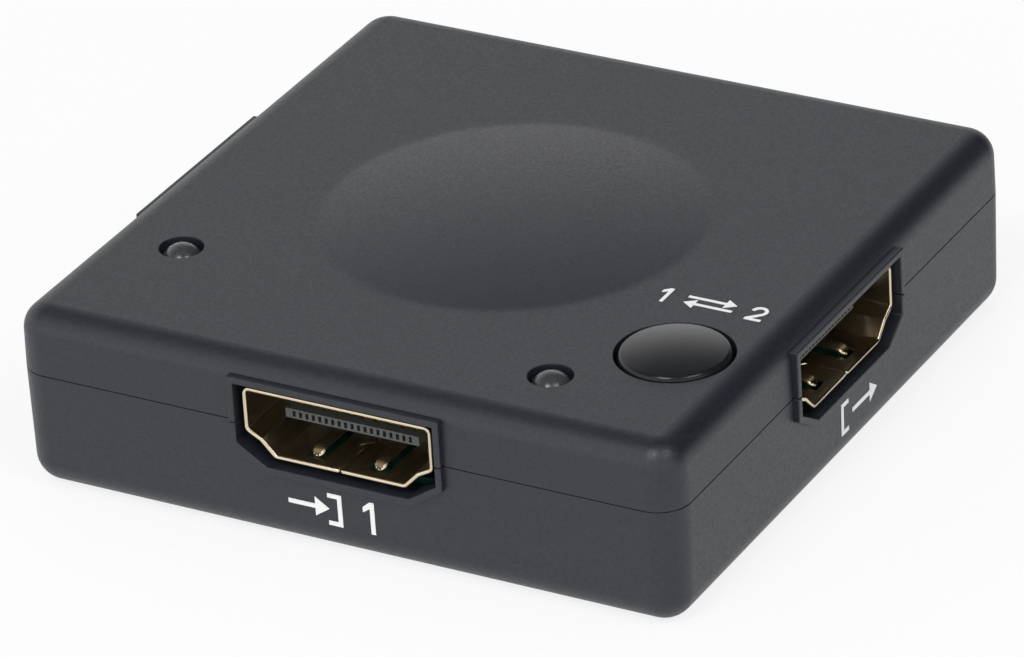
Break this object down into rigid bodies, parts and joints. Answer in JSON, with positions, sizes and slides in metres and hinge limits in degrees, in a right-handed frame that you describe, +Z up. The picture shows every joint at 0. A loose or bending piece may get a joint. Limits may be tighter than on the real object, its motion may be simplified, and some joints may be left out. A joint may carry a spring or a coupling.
{
  "type": "hdmi switch box",
  "caption": "Low square HDMI switch box in dark plastic: collared sockets on its sides, a press-to-select button, round indicator lamps and a shallow domed top.",
  "frame": {"origin": "centre of the case's flat underside, below the crossing of the three socket centre lines", "axes": "+Z up, out of the domed top; -Y out of the first input socket; +X out of the output socket; -X out of the second input socket"},
  "size_m": [0.0518, 0.0514, 0.0146],
  "materials": {
    "case_plastic": "spark-eroded moulded ABS, dark charcoal",
    "button_plastic": "smooth moulded ABS, dark charcoal",
    "gold_plate": "pale gold flash over folded brass sheet",
    "contact_gold": "gold-plated contact strip",
    "connector_plastic": "black heat-resistant moulded plastic",
    "board_laminate": "green solder mask over glass-epoxy board",
    "tinned_metal": "tinned lead metal",
    "chip_resin": "black moulding resin",
    "ceramic": "fired tan ceramic",
    "spring_steel": "stainless sheet",
    "plunger_plastic": "black moulded plastic",
    "lamp_epoxy": "water-clear cast epoxy",
    "screw_steel": "zinc-plated steel",
    "white_ink": "white pad-printing ink"
  },
  "bodies": {
    "base": {"top_cover": "case_plastic", "bottom_cover": "case_plastic", "input_1_shell": "gold_plate", "input_2_shell": "gold_plate", "output_shell": "gold_plate", "input_1_contacts": "contact_gold", "input_2_contacts": "contact_gold", "output_contacts": "contact_gold", "input_1_insulator": "connector_plastic", "input_2_insulator": "connector_plastic", "output_insulator": "connector_plastic", "circuit_board": "board_laminate", "chip_leads": "tinned_metal", "regulator_leads": "tinned_metal", "part_ends": "tinned_metal", "switch_terminals": "tinned_metal", "lamp_1_leads": "tinned_metal", "lamp_2_leads": "tinned_metal", "chip_body": "chip_resin", "regulator_body": "chip_resin", "switch_base": "chip_resin", "resistors": "chip_resin", "capacitors": "ceramic", "switch_plate": "spring_steel", "switch_dome": "spring_steel", "lamp_1_lens": "lamp_epoxy", "lamp_2_lens": "lamp_epoxy", "case_screws": "screw_steel", "printed_marks": "white_ink"},
    "button": {"select_button": "button_plastic"},
    "plunger": {"switch_plunger": "plunger_plastic"}
  },
  "joints": [
    {"name": "button_press", "type": "slide", "parent": "base", "child": "button", "axis": [0, 0, -1], "range_m": [0, 0.0003], "stiffness_N_per_m": 4000, "springref_m": -0.0001},
    {"name": "plunger_press", "type": "slide", "parent": "base", "child": "plunger", "axis": [0, 0, -1], "range_m": [0, 0.0003], "deforming": ["switch_dome"]}
  ],
  "couplings": [
    {"joint": "plunger_press", "follows": "button_press", "ratio": 1}
  ]
}
